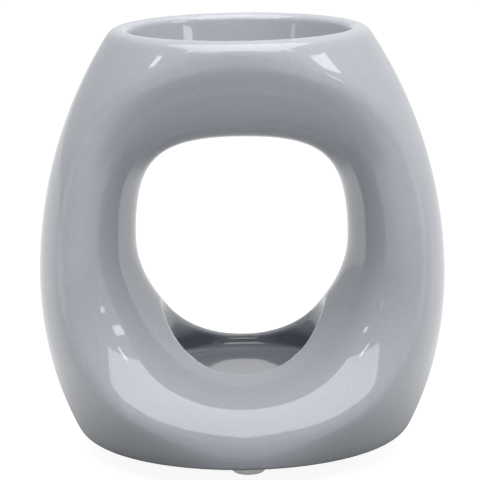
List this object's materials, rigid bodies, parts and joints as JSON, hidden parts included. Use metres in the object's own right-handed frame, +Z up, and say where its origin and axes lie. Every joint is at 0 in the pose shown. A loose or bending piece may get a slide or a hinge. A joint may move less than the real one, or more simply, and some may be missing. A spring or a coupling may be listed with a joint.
{
  "type": "essential oil burner",
  "caption": "Barrel-shaped glazed ceramic oil burner with an oil dish in its top, a flared window right through it over a tealight well, and clear stick-on feet.",
  "frame": {"origin": "on the surface that the burner stands on, under the middle of its body", "axes": "+Z up, the window runs along Y, -Y is the front in the picture, +X to the right seen from the front"},
  "size_m": [0.106, 0.0906, 0.1114],
  "materials": {
    "glaze": "glossy blue-grey glaze",
    "clear_foot": "clear soft polyurethane",
    "adhesive_film": "clear acrylic adhesive film"
  },
  "bodies": {
    "root": {"ceramic_body": "glaze", "front_foot": "clear_foot", "rear_right_foot": "clear_foot", "rear_left_foot": "clear_foot", "front_foot_adhesive": "adhesive_film", "rear_right_foot_adhesive": "adhesive_film", "rear_left_foot_adhesive": "adhesive_film"}
  },
  "joints": []
}
